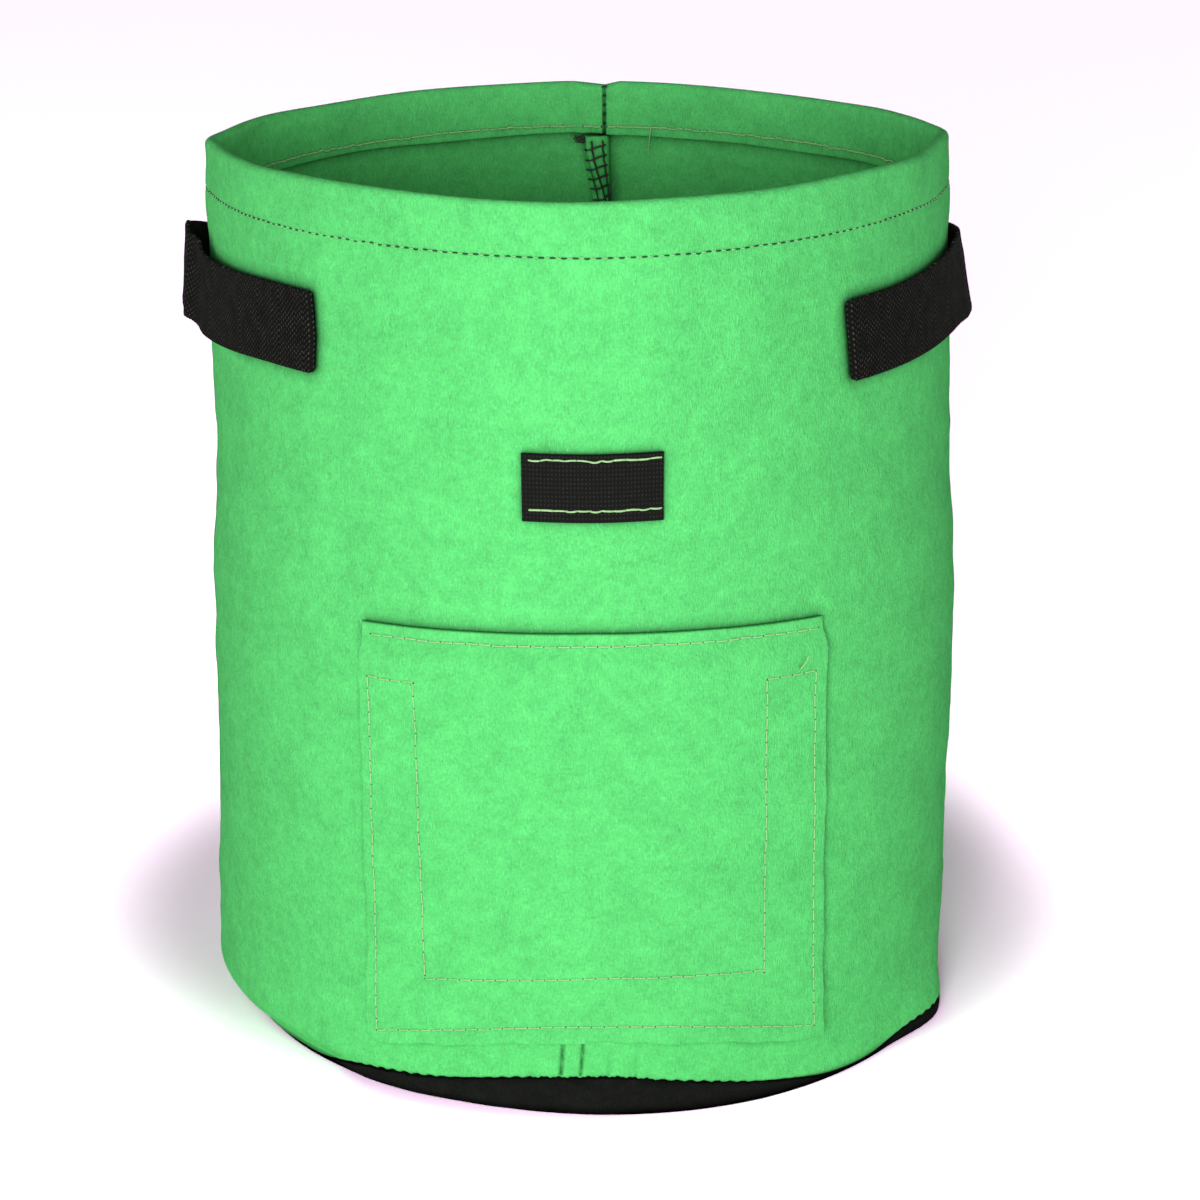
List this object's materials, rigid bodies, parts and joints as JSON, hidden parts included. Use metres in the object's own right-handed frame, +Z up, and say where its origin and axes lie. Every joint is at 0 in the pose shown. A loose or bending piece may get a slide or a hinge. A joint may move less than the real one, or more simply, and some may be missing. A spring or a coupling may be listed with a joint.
{
  "type": "fabric grow bag",
  "caption": "Round felt grow bag with an open top, a darker base, webbing side handles and a hook-and-loop harvest flap over a window in the wall.",
  "frame": {"origin": "centre of the underside of the base, on the surface that the bag stands on", "axes": "+Z up along the bag's axis, -Y towards the flap and window, +X towards the handle on the right as seen from the front"},
  "size_m": [0.3172, 0.3259, 0.35],
  "materials": {
    "green_felt": "needle-punched felt, matt, short loose fibres",
    "black_base_felt": "black felt, matt",
    "black_webbing": "woven flat webbing, slight sheen",
    "black_hook_tape": "hook tape, fine stiff hooks",
    "black_loop_tape": "loop tape, brushed loops",
    "green_thread": "polyester sewing thread",
    "black_thread": "polyester sewing thread"
  },
  "bodies": {
    "root": {"wall_panel": "green_felt", "base_panel": "black_base_felt", "hook_keeper": "black_hook_tape", "flap_sewn_edge": "green_felt", "window_loop_tape_left": "black_loop_tape", "window_loop_tape_right": "black_loop_tape", "window_loop_tape_bottom": "black_loop_tape", "left_handle_front_end": "black_webbing", "left_handle_rear_end": "black_webbing", "right_handle_front_end": "black_webbing", "right_handle_rear_end": "black_webbing"},
    "flap": {"flap_panel": "green_felt", "flap_hook_tape_left": "black_hook_tape", "flap_hook_tape_right": "black_hook_tape", "flap_hook_tape_bottom": "black_hook_tape"},
    "left_handle": {"left_handle_loop": "black_webbing"},
    "right_handle": {"right_handle_loop": "black_webbing"}
  },
  "joints": [
    {"name": "flap_hinge", "type": "hinge", "parent": "root", "child": "flap", "pos_m": [0, -0.1551, 0.1865], "axis": [-1, 0, 0], "range_deg": [0, 178]},
    {"name": "left_handle_lift", "type": "hinge", "parent": "root", "child": "left_handle", "pos_m": [-0.11644, 0.00477, 0.311], "axis": [-0.0124, 0.9999, 0], "range_deg": [0, 26]},
    {"name": "right_handle_lift", "type": "hinge", "parent": "root", "child": "right_handle", "pos_m": [0.1165, -0.00031, 0.306], "axis": [-0.0514, -0.9987, 0], "range_deg": [0, 26]}
  ]
}
